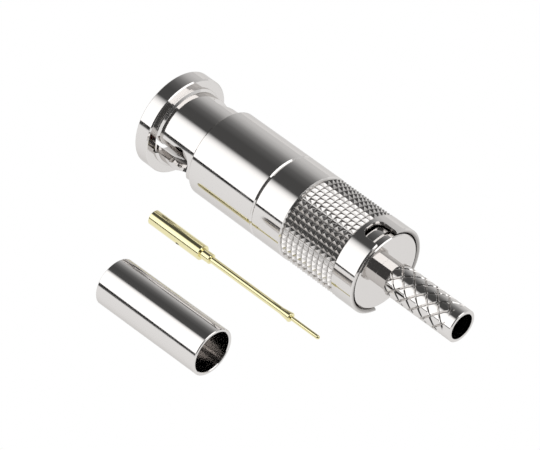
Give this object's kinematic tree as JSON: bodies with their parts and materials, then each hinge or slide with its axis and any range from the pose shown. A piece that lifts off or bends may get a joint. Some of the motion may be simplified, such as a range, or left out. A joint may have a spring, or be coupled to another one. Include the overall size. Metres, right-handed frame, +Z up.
{
  "type": "bnc connector",
  "caption": "Miniature bayonet coaxial cable plug with knurled sleeve and crimp stem, with its loose centre contact and crimp ferrule.",
  "frame": {"origin": "centre of the mating face, on the plug's axis", "axes": "+X along the plug's axis from the mating face to the cable end, +Z up, with the loose contact and ferrule on the -Y side"},
  "size_m": [0.0293, 0.0189, 0.0079],
  "materials": {
    "nickel_plate": "bright nickel plate on turned brass",
    "spring_steel": "drawn spring steel",
    "seal_rubber": "matt silicone rubber",
    "white_insulator": "waxy white fluoropolymer",
    "gold_plate": "bright gold plate on turned brass"
  },
  "bodies": {
    "connector_body": {"plug_body": "nickel_plate", "front_washer": "spring_steel", "coupling_spring": "spring_steel", "mating_gasket": "seal_rubber", "contact_sleeve": "nickel_plate", "front_insulator": "white_insulator", "rear_insulator": "white_insulator", "rear_body": "nickel_plate", "contact_pin": "gold_plate", "crimp_ferrule": "nickel_plate"},
    "thrust_ring": {"thrust_washer": "spring_steel"},
    "coupling": {"coupling_nut": "nickel_plate", "grip_sleeve": "nickel_plate"}
  },
  "joints": [
    {"name": "coupling_slide", "type": "slide", "parent": "connector_body", "child": "thrust_ring", "axis": [-1, 0, 0], "range_m": [0, 0.0006], "stiffness_N_per_m": 250, "springref_m": -0.002, "deforming": ["coupling_spring"]},
    {"name": "coupling_turn", "type": "hinge", "parent": "thrust_ring", "child": "coupling", "pos_m": [0, 0, 0], "axis": [1, 0, 0], "continuous": true}
  ]
}
